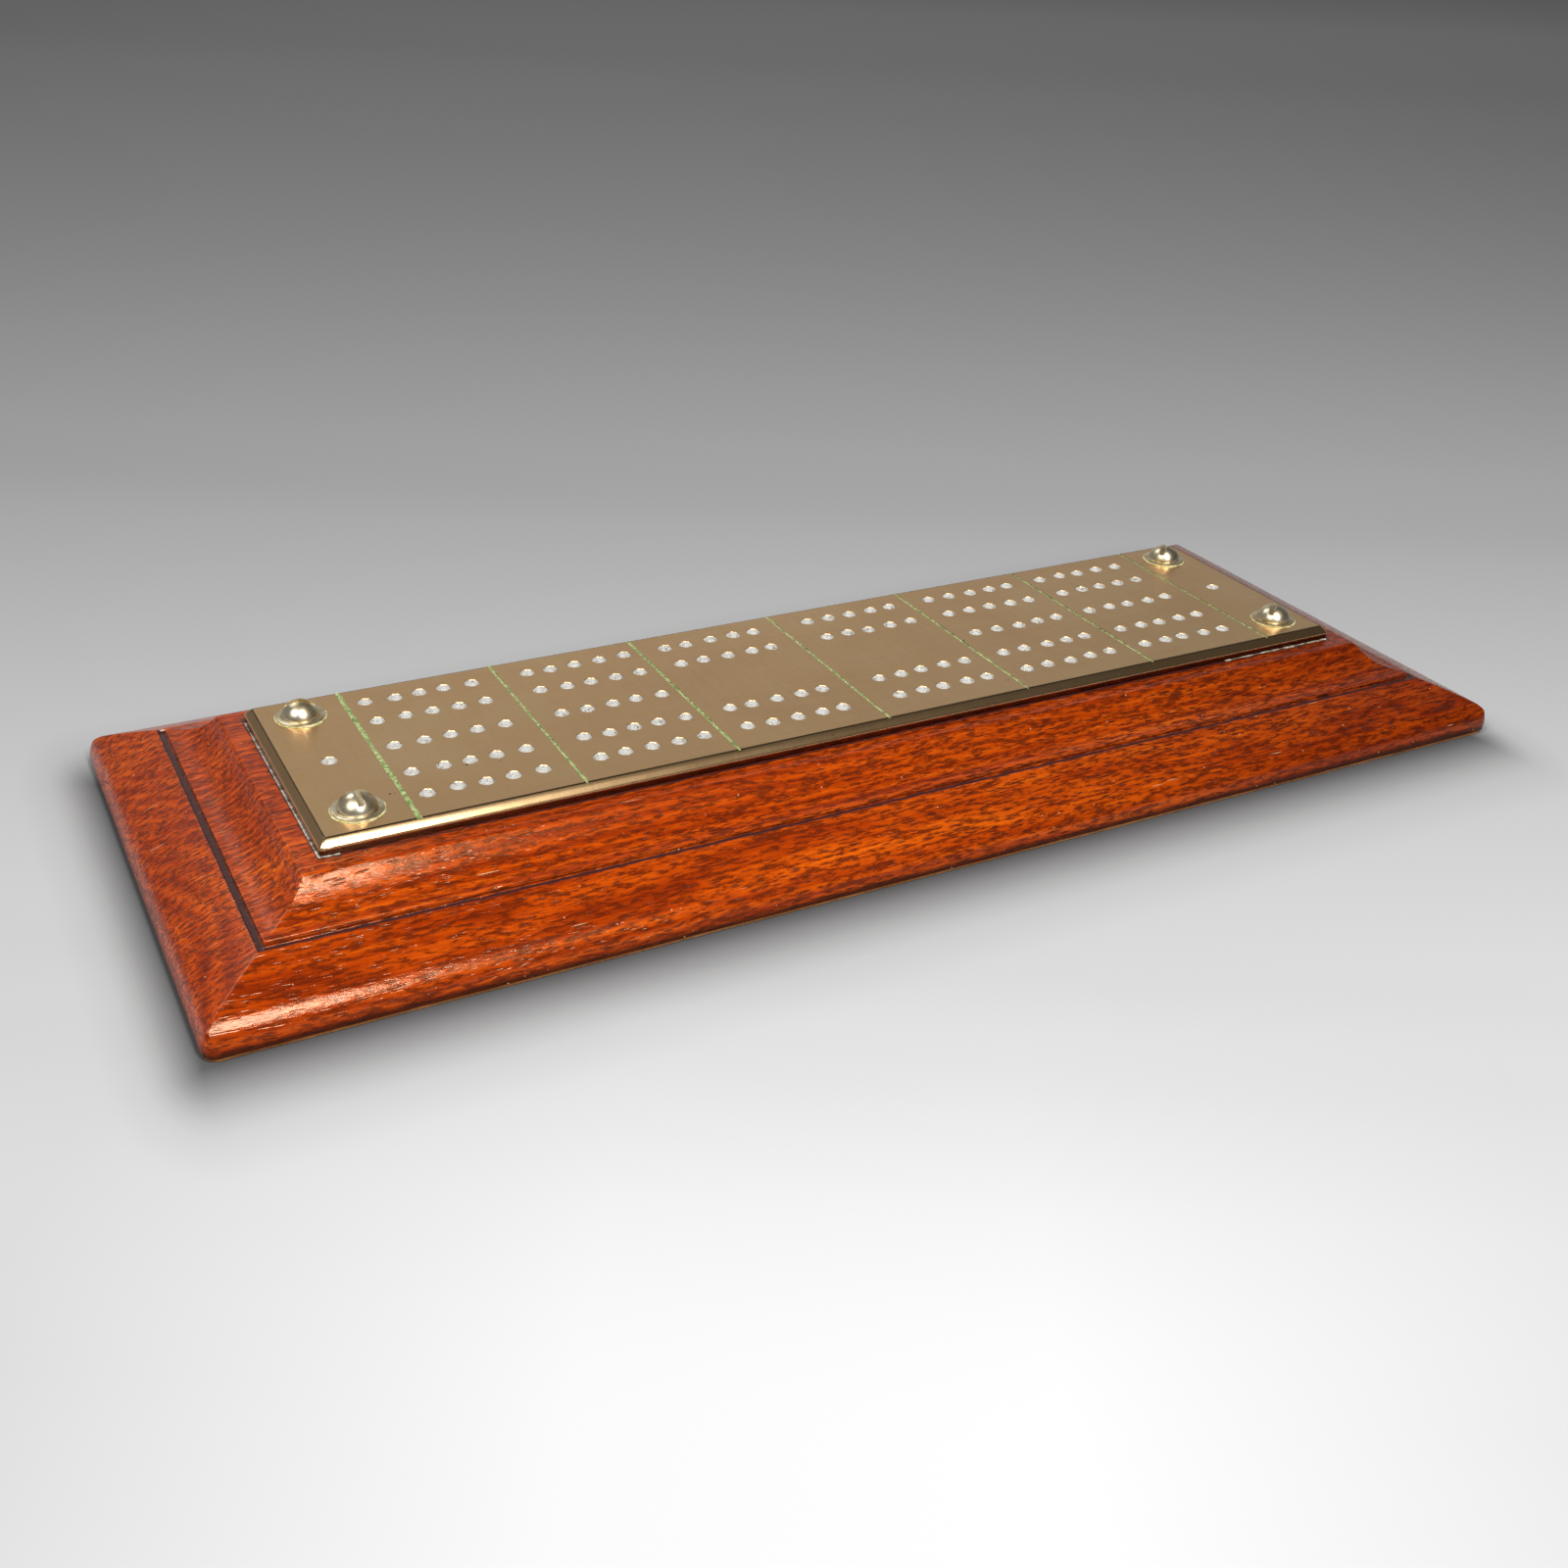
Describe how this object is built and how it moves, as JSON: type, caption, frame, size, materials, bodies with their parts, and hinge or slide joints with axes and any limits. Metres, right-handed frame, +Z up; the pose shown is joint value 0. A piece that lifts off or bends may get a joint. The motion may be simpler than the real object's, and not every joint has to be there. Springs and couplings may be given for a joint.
{
  "type": "cribbage board",
  "caption": "Long moulded mahogany board with a thick drilled brass plate screwed on top, for keeping score with pegs.",
  "frame": {"origin": "middle of the leather pad's underside, which stands on the table", "axes": "+X along the board's length, +Y to its back, +Z up out of the brass plate"},
  "size_m": [0.3178, 0.1238, 0.026],
  "materials": {
    "mahogany": "French-polished red-brown mahogany",
    "plate_brass": "satin, finely brushed along the plate",
    "screw_brass": "polished",
    "pad_leather": "plain tan, cut edge"
  },
  "bodies": {
    "root": {"base_board": "mahogany", "raised_block": "mahogany", "brass_plate": "plate_brass", "base_pad": "pad_leather", "washer_front_left": "screw_brass", "washer_front_right": "screw_brass", "washer_back_right": "screw_brass", "washer_back_left": "screw_brass", "screw_front_left": "screw_brass", "screw_front_right": "screw_brass", "screw_back_right": "screw_brass", "screw_back_left": "screw_brass"}
  },
  "joints": []
}
